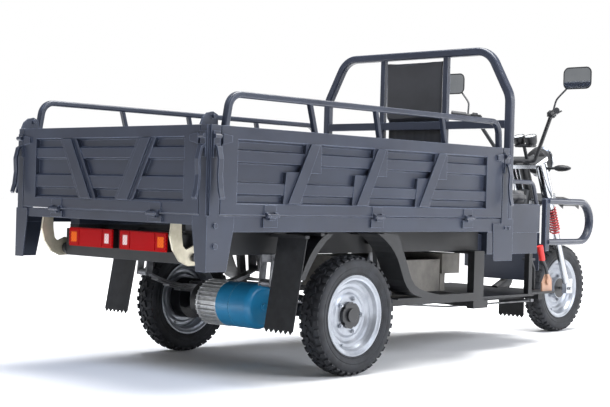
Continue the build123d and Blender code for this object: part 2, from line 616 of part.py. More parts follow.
fender_line = [on_axis(head_low - 36, 0, -40)[1:], on_axis(head_low - 36, 0, 66)[1:], 
               (wheelbase - 116, 801), (wheelbase - 16, 805), (wheelbase + 94, 788), (wheelbase + 166, 756)]
keep("front_fender", plate_yz(fender_line + [(y - 1, z - 5) for y, z in reversed(fender_line)], -56, 56),
     *[plate_yz(fender_line + [(y - 4, z - 22) for y, z in reversed(fender_line)], s * 53, s * 56) for s in (1, -1)])

bar_r = 11.0
clamp_pt = on_axis(head_high + 48, 0, -34)
grip_in, grip_out = (262.0, post_y + 50.0, 1262.0), (352.0, post_y - 46.0, 1274.0)
bar_half = [(105, clamp_pt[1], clamp_pt[2]), grip_in, grip_out]
bar_path = [(-x, y, z) for x, y, z in reversed(bar_half)] + bar_half
keep("handlebar", pipe(bar_path, bar_r, 30),
     *[rod((s * 298, post_y + 11.6, 1266.8), (s * 356, post_y - 50.3, 1274.5), 17) for s in (1, -1)],
     *[rod(on_axis(head_high + 32, s * 40, -34), on_axis(head_high + 50, s * 40, -34), 15) for s in (1, -1)])

lamp_y, lamp_z = wheelbase - 196.0, 1008.0
gauge_y, signal_y = wheelbase - 352.0, wheelbase - 270.0
keep("headlight", rod((0, lamp_y - 60, lamp_z), (0, lamp_y, lamp_z), 82),
     rod((0, lamp_y, lamp_z), (0, lamp_y + 16, lamp_z), 90))
keep("gauges", *[rod((s * 40, gauge_y + 8, 1100), (s * 40, gauge_y - 12, 1155), 36) for s in (1, -1)],
     box(-60, 60, gauge_y - 32, gauge_y + 32, 1085, 1105),
     rod(on_axis(head_high + 32, 0, 45), on_axis(head_high + 108, 0, 45), 10))


def turn_signal(s):
    stalk = rod((s * 100, signal_y, 968), (s * 150, signal_y, 968), 8)
    return fuse(stalk, box(s * 148, s * 260, signal_y - 26, signal_y + 20, 950, 988))


keep("turn_signals", *both(turn_signal))


def bar_mirror(s):
    stem = pipe([(s * 289, post_y + 21, 1279.5), (s * 297, post_y + 38, 1335), (s * 352, post_y + 48, 1400)], 5, 20)
    glass = box(s * 334, s * 516, post_y + 40, post_y + 56, 1394, 1520)
    return fuse(stem, glass)


keep("mirrors", *both(bar_mirror))

# Export, with the origin at the middle of the footprint
lows = [shape.bounding_box() for shape in parts.values()]
mid_y = (min(b.min.Y for b in lows) + max(b.max.Y for b in lows)) / 2
for name, shape in parts.items():
    export_step(shape.moved(Location((0, -mid_y, 0))), f"parts/{name}.step")
print(len(parts), "nodes, origin moved by", round(-mid_y, 3), "mm along Y")
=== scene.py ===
import math

import bmesh
import bpy
from mathutils import Matrix, Vector, noise


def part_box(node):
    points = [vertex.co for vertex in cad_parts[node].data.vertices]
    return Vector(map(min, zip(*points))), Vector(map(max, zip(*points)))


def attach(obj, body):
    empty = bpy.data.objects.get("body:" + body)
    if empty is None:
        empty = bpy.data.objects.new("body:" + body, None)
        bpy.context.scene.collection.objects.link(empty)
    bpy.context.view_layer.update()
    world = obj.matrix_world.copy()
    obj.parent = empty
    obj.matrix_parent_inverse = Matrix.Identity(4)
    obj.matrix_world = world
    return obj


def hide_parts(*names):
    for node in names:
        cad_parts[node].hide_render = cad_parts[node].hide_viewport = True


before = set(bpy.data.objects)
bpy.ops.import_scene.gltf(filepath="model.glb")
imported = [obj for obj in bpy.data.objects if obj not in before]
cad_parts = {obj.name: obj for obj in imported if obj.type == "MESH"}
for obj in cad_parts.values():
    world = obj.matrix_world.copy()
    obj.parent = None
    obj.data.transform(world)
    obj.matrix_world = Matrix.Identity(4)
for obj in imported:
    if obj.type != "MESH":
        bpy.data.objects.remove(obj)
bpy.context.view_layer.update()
axleY = -0.896  # the rear axle in the frame, y is counted from it below
scene = bpy.context.scene
print("frame loaded")


def at(x, y, z):
    return Vector((x, y + axleY, z))


def linear(hexColor):
    # sRGB hex to the linear values that a shader socket takes
    raw = [int(hexColor[i:i + 2], 16) / 255 for i in (1, 3, 5)]
    return [c / 12.92 if c <= 0.04045 else ((c + 0.055) / 1.055) ** 2.4 for c in raw] + [1.0]


def addNode(tree, kind, settings=None, links=None):
    # settings are attributes or socket values, links maps an input to an output socket
    node = tree.nodes.new(kind)
    for key, value in (settings or {}).items():
        if isinstance(key, str) and hasattr(node, key):
            setattr(node, key, value)
        else:
            node.inputs[key].default_value = value
    for key, source in (links or {}).items():
        tree.links.new(source, node.inputs[key])
    return node


def newMaterial(name, settings):
    mat = bpy.data.materials.new(name)
    mat.use_nodes = True
    tree = mat.node_tree
    tree.nodes.clear()
    shader = addNode(tree, "ShaderNodeBsdfPrincipled", settings)
    addNode(tree, "ShaderNodeOutputMaterial", None, {"Surface": shader.outputs["BSDF"]})
    place = addNode(tree, "ShaderNodeTexCoord").outputs["Object"]
    return mat, tree, shader, place


def mottle(tree, place, low, high, grain, detail=4.0):
    # two shades of one colour in soft patches, grain is the patch size in metres
    patches = addNode(tree, "ShaderNodeTexNoise", {"Scale": 1 / grain, "Detail": detail, "Roughness": 0.6},
                      {"Vector": place})
    ramp = addNode(tree, "ShaderNodeValToRGB", None, {"Fac": patches.outputs["Fac"]})
    ramp.color_ramp.elements[0].position, ramp.color_ramp.elements[1].position = 0.32, 0.68
    ramp.color_ramp.elements[0].color, ramp.color_ramp.elements[1].color = linear(low), linear(high)
    return ramp.outputs["Color"]


def bumpy(tree, place, grain, height, normal=None, detail=3.0):
    # fine relief from noise, grain and height in metres
    relief = addNode(tree, "ShaderNodeTexNoise", {"Scale": 1 / grain, "Detail": detail}, {"Vector": place})
    links = {"Height": relief.outputs["Fac"]}
    if normal is not None:
        links["Normal"] = normal
    return addNode(tree, "ShaderNodeBump", {"Strength": 1.0, "Distance": height}, links).outputs["Normal"]


def roughPatches(tree, place, low, high, grain):
    patches = addNode(tree, "ShaderNodeTexNoise", {"Scale": 1 / grain, "Detail": 3.0}, {"Vector": place})
    return addNode(tree, "ShaderNodeMapRange", {"To Min": low, "To Max": high},
                   {"Value": patches.outputs["Fac"]}).outputs["Result"]


# finishes

# edge is the colour of the painted highlight along the edges, a lighter tint of the paint
paintSpec = {"base": "#2e3442", "deep": "#252935", "edge": "#8a96b0", "patch": 0.35, "rough": (0.26, 0.40),
             "peel": 0.004, "peelHeight": 0.00006, "edgeRadius": 0.0022}


def sprayPaint(name, spec):
    # sprayed polyester on folded steel: satin, faint orange peel, and a painted highlight, a lighter colour
    # along the edges where light catches them
    mat, tree, shader, place = newMaterial(name, {"IOR": 1.5, "Metallic": 0.0})
    soft = addNode(tree, "ShaderNodeBevel", {"samples": 4, "Radius": spec["edgeRadius"]}).outputs["Normal"]
    normal = bumpy(tree, place, spec["peel"], spec["peelHeight"], soft)
    flat = addNode(tree, "ShaderNodeNewGeometry").outputs["Normal"]
    turn = addNode(tree, "ShaderNodeVectorMath", {"operation": "DOT_PRODUCT"}, {0: soft, 1: flat})
    # painted highlight: the lighter edge colour is mixed in where the softened normal turns away from the
    # flat one
    paintedEdgeHighlight = addNode(tree, "ShaderNodeMapRange",
                   {"From Min": 0.985, "From Max": 0.80, "To Min": 0.0, "To Max": 0.75},
                   {"Value": turn.outputs["Value"]})
    colour = mottle(tree, place, spec["deep"], spec["base"], spec["patch"])
    mixed = addNode(tree, "ShaderNodeMix", {"data_type": "RGBA", 7: linear(spec["edge"])},
                    {0: paintedEdgeHighlight.outputs["Result"], 6: colour})
    tree.links.new(mixed.outputs[2], shader.inputs["Base Color"])
    tree.links.new(roughPatches(tree, place, *spec["rough"], spec["patch"] / 3), shader.inputs["Roughness"])
    tree.links.new(normal, shader.inputs["Normal"])
    return mat


def castMetal(name, low, high, rough, metallic=1.0, grain=0.006, height=0.0002):
    # sand or die cast metal: dull grain with soft patches
    mat, tree, shader, place = newMaterial(name, {"Metallic": metallic})
    tree.links.new(mottle(tree, place, low, high, grain * 8), shader.inputs["Base Color"])
    tree.links.new(roughPatches(tree, place, *rough, grain * 5), shader.inputs["Roughness"])
    soft = addNode(tree, "ShaderNodeBevel", {"samples": 4, "Radius": 0.0015}).outputs["Normal"]
    tree.links.new(bumpy(tree, place, grain, height, soft), shader.inputs["Normal"])
    return mat


def mouldedPlastic(name, low, high, rough, grain=0.0012, height=0.00004, ior=1.46):
    # injection moulded plastic with a fine spark-eroded texture
    mat, tree, shader, place = newMaterial(name, {"IOR": ior})
    tree.links.new(mottle(tree, place, low, high, 0.06), shader.inputs["Base Color"])
    tree.links.new(roughPatches(tree, place, *rough, 0.05), shader.inputs["Roughness"])
    tree.links.new(bumpy(tree, place, grain, height), shader.inputs["Normal"])
    return mat


def dustyRubber(name, low, high, rough, grain=0.003, height=0.00012):
    # vulcanised rubber: deep grey, chalky patches from talc and road dust
    mat, tree, shader, place = newMaterial(name, {"IOR": 1.52, "Specular IOR Level": 0.35})
    tree.links.new(mottle(tree, place, low, high, 0.05, 6.0), shader.inputs["Base Color"])
    tree.links.new(roughPatches(tree, place, *rough, 0.03), shader.inputs["Roughness"])
    tree.links.new(bumpy(tree, place, grain, height), shader.inputs["Normal"])
    return mat


def lensPlastic(name, colour, rough=0.08):
    # moulded acrylic lamp lens: deep colour, wet gloss, fine fluting inside
    mat, tree, shader, place = newMaterial(name, {"IOR": 1.49, "Roughness": rough, "Coat Weight": 0.6,
                                                  "Coat Roughness": 0.04})
    tree.links.new(mottle(tree, place, colour[0], colour[1], 0.02), shader.inputs["Base Color"])
    flutes = addNode(tree, "ShaderNodeTexWave", {"Scale": 1 / 0.012, "bands_direction": "X"},
                     {"Vector": place})
    ribs = addNode(tree, "ShaderNodeBump", {"Distance": 0.0006, "Strength": 0.6},
                   {"Height": flutes.outputs["Fac"]})
    tree.links.new(ribs.outputs["Normal"], shader.inputs["Normal"])
    return mat


slatePaint = sprayPaint("sprayedSlatePaint", paintSpec)
blackPaint = sprayPaint("sprayedBlackPaint",
                        {**paintSpec, "base": "#131519", "deep": "#0d0e11", "edge": "#4a4f59",
                                              "rough": (0.38, 0.58)})
zincPlate = castMetal("yellowZincPlate", "#a39c88", "#cbc4b0", (0.30, 0.46), 0.55, 0.010, 0.00008)
dullSteel = castMetal("dullSpringSteel", "#5d5e61", "#8b8c8f", (0.38, 0.55), 0.9, 0.006, 0.00015)
castAluminium = castMetal("castAluminium", "#b4b5b6", "#d6d7d7", (0.36, 0.5), 0.6, 0.003, 0.00018)
motorBlue = sprayPaint("motorBlueEnamel",
                       {**paintSpec, "base": "#2a8cbd", "deep": "#176a96", "edge": "#7cc2e0",
                                           "rough": (0.25, 0.38), "edgeRadius": 0.003})
brightChrome = castMetal("brightChrome", "#9b9ea3", "#b4b7bb", (0.10, 0.20), 1.0, 0.03, 0.00002)
springRed = sprayPaint("springRedEnamel",
                       {**paintSpec, "base": "#b3161c", "deep": "#8f0f15", "edge": "#cf3a3c",
                                           "rough": (0.25, 0.4), "edgeRadius": 0.001})
tyreRubber = dustyRubber("vulcanisedTyreRubber", "#17181b", "#282a2f", (0.55, 0.8))
flapRubber = dustyRubber("mudFlapRubber", "#17181a", "#232427", (0.5, 0.75))
blackPlastic = mouldedPlastic("blackMouldedPlastic", "#141517", "#1e1f22", (0.35, 0.55))
casePlastic = mouldedPlastic("greyBatteryCase", "#5d5a55", "#74706a", (0.4, 0.6))
amberLens = lensPlastic("amberLens", ("#d8690c", "#f08a1a"))
whiteLens = lensPlastic("whiteLens", ("#c9ccd0", "#e6e8ea"))


def mirrorGlass():
    # silvered glass: a clean reflection with a faint blue cast
    mat, tree, shader, place = newMaterial("silveredGlass", {"Metallic": 1.0})
    tree.links.new(mottle(tree, place, "#b9bec4", "#ccd0d5", 0.2), shader.inputs["Base Color"])
    tree.links.new(roughPatches(tree, place, 0.03, 0.07, 0.08), shader.inputs["Roughness"])
    return mat


lampCells = {"clear": (0.060, 0.014, 0.569, 0.020), "amber": (0.281, 0.019, 0.569, 0.021), "cell": 0.007}


def rearLamp():
    # red acrylic with a small clear cell inside and an amber one outside, all in a fine prism grid
    mat, tree, shader, place = newMaterial("prismaticLamp",
                                           {"IOR": 1.49, "Roughness": 0.34, "Specular IOR Level": 0.08})
    split = addNode(tree, "ShaderNodeSeparateXYZ", None, {"Vector": place})
    side = addNode(tree, "ShaderNodeMath", {"operation": "ABSOLUTE"},
                   {0: split.outputs["X"]}).outputs["Value"]
    prisms = addNode(tree, "ShaderNodeTexChecker",
                     {"Scale": 1 / lampCells["cell"], "Color1": linear("#850106"),
                                                    "Color2": linear("#b3030a")}, {"Vector": place})
    colour = prisms.outputs["Color"]
    for name, tint in (("clear", "#e9dedb"), ("amber", "#e8701c")):
        x, halfX, z, halfZ = lampCells[name]
        inX = addNode(tree, "ShaderNodeMath", {"operation": "COMPARE", 1: x, 2: halfX}, {0: side})
        inZ = addNode(tree, "ShaderNodeMath", {"operation": "COMPARE", 1: z, 2: halfZ},
                      {0: split.outputs["Z"]})
        both = addNode(tree, "ShaderNodeMath", {"operation": "MULTIPLY"},
                       {0: inX.outputs[0], 1: inZ.outputs[0]})
        part = addNode(tree, "ShaderNodeMath", {"operation": "MULTIPLY"},
                       {0: both.outputs[0], 1: prisms.outputs["Fac"]})
        share = addNode(tree, "ShaderNodeMath", {"operation": "MULTIPLY_ADD", 1: 0.55}, {0: part.outputs[0]})
        most = addNode(tree, "ShaderNodeMath", {"operation": "MULTIPLY", 1: 0.45}, {0: both.outputs[0]})
        tree.links.new(most.outputs[0], share.inputs[2])
        mixed = addNode(tree, "ShaderNodeMix", {"data_type": "RGBA", 7: linear(tint)},
                        {0: share.outputs[0], 6: colour})
        colour = mixed.outputs[2]
    lip = addNode(tree, "ShaderNodeMath", {"operation": "GREATER_THAN", 1: axleY - 0.8495},
                  {0: split.outputs["Y"]})
    housing = addNode(tree, "ShaderNodeMix", {"data_type": "RGBA", 7: linear("#1a1214")},
                      {0: lip.outputs[0], 6: colour})
    ribs = addNode(tree, "ShaderNodeBump", {"Distance": 0.0006, "Strength": 0.5},
                   {"Height": prisms.outputs["Fac"]})
    tree.links.new(housing.outputs[2], shader.inputs["Base Color"])
    tree.links.new(ribs.outputs["Normal"], shader.inputs["Normal"])
    return mat


def rimLacquer(name, centreY):
    # pressed steel in silver lacquer, with the hub painted black about the axle
    mat, tree, shader, place = newMaterial(name, {})
    away = addNode(tree, "ShaderNodeVectorMath", {"operation": "SUBTRACT", 1: (0, centreY, 0.26)}, {0: place})
    flat = addNode(tree, "ShaderNodeVectorMath", {"operation": "MULTIPLY", 1: (0, 1, 1)},
                   {0: away.outputs["Vector"]})
    reach = addNode(tree, "ShaderNodeVectorMath", {"operation": "LENGTH"},
                    {0: flat.outputs["Vector"]}).outputs["Value"]
    hub = addNode(tree, "ShaderNodeMath", {"operation": "LESS_THAN", 1: 0.0575}, {0: reach}).outputs["Value"]
    silver = mottle(tree, place, "#8f939a", "#a7abb2", 0.09)
    mixed = addNode(tree, "ShaderNodeMix", {"data_type": "RGBA", 7: linear("#1b1c1f")}, {0: hub, 6: silver})
    shine = addNode(tree, "ShaderNodeMapRange", {"To Min": 0.60, "To Max": 0.0}, {"Value": hub})
    tree.links.new(mixed.outputs[2], shader.inputs["Base Color"])
    tree.links.new(shine.outputs["Result"], shader.inputs["Metallic"])
    tree.links.new(roughPatches(tree, place, 0.28, 0.42, 0.05), shader.inputs["Roughness"])
    soft = addNode(tree, "ShaderNodeBevel", {"samples": 4, "Radius": 0.002}).outputs["Normal"]
    tree.links.new(bumpy(tree, place, 0.004, 0.00005, soft), shader.inputs["Normal"])
    return mat


controlSpec = {"right": 0.32, "grip": 0.452, "plate": 0.378, "red": "#c4201d", "tan": "#a5806a",
               "steel": "#2b2d31"}


def controlFinish(spec):
    # the brake lever has a dipped red grip and a copper-toned base plate, the pedal arm is dark steel
    mat, tree, shader, place = newMaterial("dippedBrakeLever", {"Roughness": 0.42})
    split = addNode(tree, "ShaderNodeSeparateXYZ", None, {"Vector": place})
    brakeSide = addNode(tree, "ShaderNodeMath", {"operation": "GREATER_THAN", 1: spec["right"]},
                        {0: split.outputs["X"]})
    colour = mottle(tree, place, "#222428", spec["steel"], 0.03)
    for operation, height, tint in (("GREATER_THAN", spec["grip"], spec["red"]),
                                    ("LESS_THAN", spec["plate"], spec["tan"])):
        zone = addNode(tree, "ShaderNodeMath", {"operation": operation, 1: height}, {0: split.outputs["Z"]})
        both = addNode(tree, "ShaderNodeMath", {"operation": "MULTIPLY"},
                       {0: zone.outputs[0], 1: brakeSide.outputs[0]})
        mixed = addNode(tree, "ShaderNodeMix", {"data_type": "RGBA", 7: linear(tint)},
                        {0: both.outputs[0], 6: colour})
        colour = mixed.outputs[2]
    tree.links.new(colour, shader.inputs["Base Color"])
    tree.links.new(bumpy(tree, place, 0.003, 0.00008), shader.inputs["Normal"])
    return mat


def seatVinyl(name, low, high):
    # embossed PVC leathercloth: small pebble grain with a soft sheen on the folds
    mat, tree, shader, place = newMaterial(name, {"IOR": 1.5, "Sheen Weight": 0.15, "Coat Weight": 0.12,
                                                  "Coat Roughness": 0.3})
    tree.links.new(mottle(tree, place, low, high, 0.12), shader.inputs["Base Color"])
    tree.links.new(roughPatches(tree, place, 0.34, 0.5, 0.06), shader.inputs["Roughness"])
    pebbles = addNode(tree, "ShaderNodeTexVoronoi", {"Scale": 1 / 0.0022, "feature": "SMOOTH_F1"},
                      {"Vector": place})
    grain = addNode(tree, "ShaderNodeBump", {"Distance": 0.0003, "Strength": 0.5},
                    {"Height": pebbles.outputs["Distance"]})
    tree.links.new(grain.outputs["Normal"], shader.inputs["Normal"])
    return mat


silverGlass = mirrorGlass()
frontRimPaint, rearRimPaint = rimLacquer("silverRimFront", 2.496 + axleY), rimLacquer("silverRimRear", axleY)
threeColourLamp = rearLamp()
brakeLeverFinish = controlFinish(controlSpec)
blackVinyl = seatVinyl("blackSeatVinyl", "#1a1b1f", "#26272c")
print("materials made")

nodeFinish = {
    slatePaint: ["bed_floor", "bed_beams", "bed_cross_beams", "bed_sills", "rear_posts", "front_posts",
                 "bulkhead", "roll_hoop",
                 "toggle_levers", "tailgate", "side_panel_right", "side_panel_left", "guard_rail_right",
                 "guard_rail_left", "leg_guards", "seat_box"],
    blackPaint: ["chassis_rails", "cross_members", "lower_frame", "front_frame", "footboard", "rear_beam",
                 "rear_axle",
                 "handlebar"],
    frontRimPaint: ["front_rim"],
    rearRimPaint: ["rear_rim_right", "rear_rim_left"],
    tyreRubber: ["front_tyre", "rear_tyre_right", "rear_tyre_left"],
    flapRubber: ["mud_flaps"],
    zincPlate: ["tipping_hinges"],
    dullSteel: ["leaf_springs", "spring_fittings", "brake_lines"],
    brakeLeverFinish: ["hand_controls"],
    castAluminium: ["motor_body"],
    motorBlue: ["motor_cap"],
    threeColourLamp: ["tail_lamps"],
    casePlastic: ["battery_pack"],
    blackVinyl: ["seat_cushion", "backrest"],
    brightChrome: ["fork", "headlight"],
    springRed: ["fork_springs"],
    blackPlastic: ["front_fender", "rear_fenders", "gauges", "turn_signals", "mirrors"],
}
for finish, names in nodeFinish.items():
    for name in names:
        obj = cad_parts[name]
        obj.data.materials.clear()
        obj.data.materials.append(finish)


# mesh helpers

def meshObject(name, bm, finish, smoothAngle=None):
    mesh = bpy.data.meshes.new(name)
    bmesh.ops.recalc_face_normals(bm, faces=bm.faces)
    bm.to_mesh(mesh)
    bm.free()
    obj = bpy.data.objects.new(name, mesh)
    scene.collection.objects.link(obj)
    for one in finish if isinstance(finish, (list, tuple)) else [finish]:
        mesh.materials.append(one)
    if smoothAngle is not None:
        for poly in mesh.polygons:
            poly.use_smooth = True
        mesh.set_sharp_from_angle(angle=math.radians(smoothAngle))
    return obj


def joined(name, objs):
    # one mesh from several, the first keeps the name
    bpy.ops.object.select_all(action="DESELECT")
    for obj in objs:
        obj.select_set(True)
    bpy.context.view_layer.objects.active = objs[0]
    bpy.ops.object.join()
    objs[0].name = name
    return objs[0]


def applyAll(obj):
    # the evaluated mesh replaces the modifiers
    deps = bpy.context.evaluated_depsgraph_get()
    mesh = bpy.data.meshes.new_from_object(obj.evaluated_get(deps))
    obj.modifiers.clear()
    obj.data = mesh
    return obj


def turned(bm, profile, segments, matrix):
    # a closed ring of (radius, height) points turned about the local Z axis, placed by matrix
    rings = []
    for k in range(segments):
        a = 2 * math.pi * k / segments
        rings.append([bm.verts.new(matrix @ Vector((r * math.cos(a), r * math.sin(a), h))) for r,
                      h in profile])
    for k in range(segments):
        one, two = rings[k], rings[(k + 1) % segments]
        for i in range(len(profile) - 1):
            bm.faces.new((one[i], two[i], two[i + 1], one[i + 1]))
    for end, r in ((0, profile[0][0]), (-1, profile[-1][0])):
        if r < 1e-6:
            bmesh.ops.pointmerge(bm, verts=[ring[end] for ring in rings], merge_co=rings[0][end].co)
    return bm


def facing(origin, direction, roll=0.0):
    # a matrix at origin whose Z looks along direction
    return (Matrix.Translation(origin) @ Vector(direction).to_track_quat("Z", "Y").to_matrix().to_4x4()
            @ Matrix.Rotation(roll, 4, "Z"))


rake = math.radians(24)
axisUp = Vector((0, -math.sin(rake), math.cos(rake)))
axisAhead = Vector((0, math.cos(rake), math.sin(rake)))
frontAxle = at(0, 2.496, 0.26)
axisFoot = frontAxle - 0.040 * axisAhead


def onAxis(t, side=0.0, ahead=0.0):
    return axisFoot + t * axisUp + ahead * axisAhead + Vector((side, 0, 0))


# tyres: a smooth carcass with rings of rubber blocks

tyreSpec = {"radius": 0.260, "half": 0.056, "rimRadius": 0.1755, "groove": 0.009, "centreBlocks": 34,
            "shoulderBlocks": 42,
            "block": (0.009, 0.030, 0.017), "shoulder": (0.020, 0.021, 0.019), "segments": 96,
            "centreShare": 0.19, "shoulderShare": 0.72, "lean": 0.35, "cant": 0.42, "sunk": 0.0155}
wheels = (("front_tyre", at(0, 2.496, 0.26), "front_wheel"),
          ("rear_tyre_right", at(0.53, 0, 0.26), "rear_wheel_right"),
          ("rear_tyre_left", at(-0.53, 0, 0.26), "rear_wheel_left"))


def treadTree(spec):
    # rings of rubber blocks on circles, the blocks look outwards
    tree = bpy.data.node_groups.new("treadBlocks", "GeometryNodeTree")
    tree.interface.new_socket("Geometry", in_out="OUTPUT", socket_type="NodeSocketGeometry")
    for name, value in (("Radius", spec["radius"]), ("Half Width", spec["half"])):
        tree.interface.new_socket(name, in_out="INPUT", socket_type="NodeSocketFloat").default_value = value
    tree.interface.new_socket("Rubber", in_out="INPUT", socket_type="NodeSocketMaterial")
    given = addNode(tree, "NodeGroupInput")
    parts = []

    def ring(count, size, radiusDrop, offsetShare, phase, tilt):
        drop = addNode(tree, "ShaderNodeMath", {"operation": "SUBTRACT", 1: radiusDrop},
                       {0: given.outputs["Radius"]})
        circle = addNode(tree, "GeometryNodeMeshCircle", {"Vertices": count}, {"Radius": drop.outputs[0]})
        block = addNode(tree, "GeometryNodeMeshCube", {"Size": size})
        where = addNode(tree, "GeometryNodeInputPosition")
        outward = addNode(tree, "FunctionNodeAlignRotationToVector", {"axis": "X"},
                          {"Vector": where.outputs[0]})
        lean = addNode(tree, "FunctionNodeRotateRotation", {"rotation_space": "LOCAL"},
                       {"Rotation": outward.outputs[0]})
        lean.inputs["Rotate By"].default_value = (tilt[0], tilt[1], 0)
        blocks = addNode(tree, "GeometryNodeInstanceOnPoints", None,
                         {"Points": circle.outputs["Mesh"], "Instance": block.outputs["Mesh"],
                          "Rotation": lean.outputs[0]})
        shift = addNode(tree, "ShaderNodeMath", {"operation": "MULTIPLY", 1: offsetShare},
                        {0: given.outputs["Half Width"]})
        move = addNode(tree, "ShaderNodeCombineXYZ", None, {"Z": shift.outputs[0]})
        placed = addNode(tree, "GeometryNodeTransform", {"Rotation": (0, 0, phase)},
                         {"Geometry": blocks.outputs["Instances"], "Translation": move.outputs[0]})
        parts.append(placed.outputs["Geometry"])

    centre, shoulder = spec["block"], spec["shoulder"]
    stepC, stepS = 2 * math.pi / spec["centreBlocks"], 2 * math.pi / spec["shoulderBlocks"]
    inner, outer, lean, cant, sunk = (spec[key] for key in ("centreShare", "shoulderShare", "lean", "cant",
                                                            "sunk"))
    ring(spec["centreBlocks"], centre, centre[0] / 2, inner, 0.0, (lean, 0))
    ring(spec["centreBlocks"], centre, centre[0] / 2, -inner, stepC / 2, (-lean, 0))
    ring(spec["shoulderBlocks"], shoulder, sunk, outer, 0.0, (0, -cant))
    ring(spec["shoulderBlocks"], shoulder, sunk, -outer, stepS / 2, (0, cant))
    union = addNode(tree, "GeometryNodeJoinGeometry")
    for part in parts:
        tree.links.new(part, union.inputs[0])
    real = addNode(tree, "GeometryNodeRealizeInstances", None, {"Geometry": union.outputs[0]})
    turnUp = addNode(tree, "GeometryNodeTransform", {"Rotation": (0, math.pi / 2, 0)},
                     {"Geometry": real.outputs[0]})
    painted = addNode(tree, "GeometryNodeSetMaterial", None,
                      {"Geometry": turnUp.outputs[0], "Material": given.outputs["Rubber"]})
    addNode(tree, "NodeGroupOutput", None, {0: painted.outputs[0]})
    return tree


def setInput(mod, name, value):
    # a modifier's input is found by the identifier of its socket
    for item in mod.node_group.interface.items_tree:
        if getattr(item, "in_out", "") == "INPUT" and item.name == name:
            mod[item.identifier] = value
            return


def nodesObject(name, tree, inputs):
    mesh = bpy.data.meshes.new(name)
    obj = bpy.data.objects.new(name, mesh)
    scene.collection.objects.link(obj)
    mod = obj.modifiers.new("shape", "NODES")
    mod.node_group = tree
    for key, value in inputs.items():
        setInput(mod, key, value)
    return obj


def makeTyre(name, centre, body, tree, spec):
    high, half, low, gap = spec["radius"], spec["half"], spec["rimRadius"], spec["groove"]
    outline = [(low, 0.80), (low + 0.006, 0.86), (low + 0.010, 0.82), (low + 0.016, 0.88),
               (low + 0.030, 0.955),
               (low + 0.034, 0.93), (low + 0.040, 0.985), (low + 0.050, 0.99), (low + 0.060, 0.96),
               (high - 0.018, 0.88),
               (high - gap - 0.004, 0.70), (high - gap, 0.40), (high - gap + 0.001, 0.0)]
    right = [(r, share * half) for r, share in outline]
    ringPoints = right + [(r, -h) for r, h in reversed(right[:-1])]
    bm = bmesh.new()
    turned(bm, ringPoints + [ringPoints[0]], spec["segments"], facing((0, 0, 0), (1, 0, 0)))
    bmesh.ops.remove_doubles(bm, verts=bm.verts, dist=1e-5)
    carcass = meshObject(name + "Carcass", bm, tyreRubber, 35)
    blocks = nodesObject(name + "Blocks", tree,
                         {"Radius": high - 0.0005, "Half Width": half, "Rubber": tyreRubber})
    applyAll(blocks)
    tyre = joined(name + "Tread", [carcass, blocks])
    tyre.data.transform(Matrix.Translation(centre))
    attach(tyre, body)
    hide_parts(name)
    return tyre


treads = treadTree(tyreSpec)
for name, centre, body in wheels:
    makeTyre(name, centre, body, treads, tyreSpec)
print("tyres made")

# fork springs

coilSpec = {"low": 0.366, "high": 0.526, "side": 0.092, "ahead": 0.040, "radius": 0.028, "wire": 0.0045,
            "turns": 9.0}


def coilTree():
    tree = bpy.data.node_groups.new("coilSpring", "GeometryNodeTree")
    tree.interface.new_socket("Geometry", in_out="OUTPUT", socket_type="NodeSocketGeometry")
    for name in ("Turns", "Radius", "Height", "Wire"):
        tree.interface.new_socket(name, in_out="INPUT", socket_type="NodeSocketFloat")
    tree.interface.new_socket("Enamel", in_out="INPUT", socket_type="NodeSocketMaterial")
    given = addNode(tree, "NodeGroupInput")
    spiral = addNode(tree, "GeometryNodeCurveSpiral", {"Resolution": 28},
                     {"Rotations": given.outputs["Turns"], "Start Radius": given.outputs["Radius"],
                      "End Radius": given.outputs["Radius"], "Height": given.outputs["Height"]})
    wire = addNode(tree, "GeometryNodeCurvePrimitiveCircle", {"Resolution": 10},
                   {"Radius": given.outputs["Wire"]})
    tube = addNode(tree, "GeometryNodeCurveToMesh", {"Fill Caps": True},
                   {"Curve": spiral.outputs[0], "Profile Curve": wire.outputs[0]})
    real = addNode(tree, "GeometryNodeRealizeInstances", None, {"Geometry": tube.outputs[0]})
    painted = addNode(tree, "GeometryNodeSetMaterial", None,
                      {"Geometry": real.outputs[0], "Material": given.outputs["Enamel"]})
    addNode(tree, "NodeGroupOutput", None, {0: painted.outputs[0]})
    return tree


springs = coilTree()
coils = []
for side in (1, -1):
    coil = nodesObject("coil", springs, {"Turns": coilSpec["turns"], "Radius": coilSpec["radius"],
                                         "Height": coilSpec["high"] - coilSpec["low"] - 2 * coilSpec["wire"],
                                         "Wire": coilSpec["wire"], "Enamel": springRed})
    applyAll(coil)
    foot = onAxis(coilSpec["low"] + coilSpec["wire"], side * coilSpec["side"], coilSpec["ahead"])
    coil.data.transform(facing(foot, axisUp))
    coils.append(coil)
coilPair = joined("forkCoils", coils)
for poly in coilPair.data.polygons:
    poly.use_smooth = True
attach(coilPair, "steering")
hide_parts("fork_springs")
print("springs made")

# mirrors, headlight, gauges and turn signals on the steering head

mirrorSpec = {"centre": (0.425, 2.000, 1.457), "wide": 0.178, "tall": 0.122, "corner": 0.034, "depth": 0.016,
              "ahead": 0.006, "glass": 0.002, "crown": 0.10, "stem": 0.0052,
              "stemPath": ((0.289, 1.971, 1.272), (0.293, 1.980, 1.31), (0.297, 1.988, 1.340),
                           (0.320, 1.993, 1.366),
                           (0.356, 2.000, 1.402))}


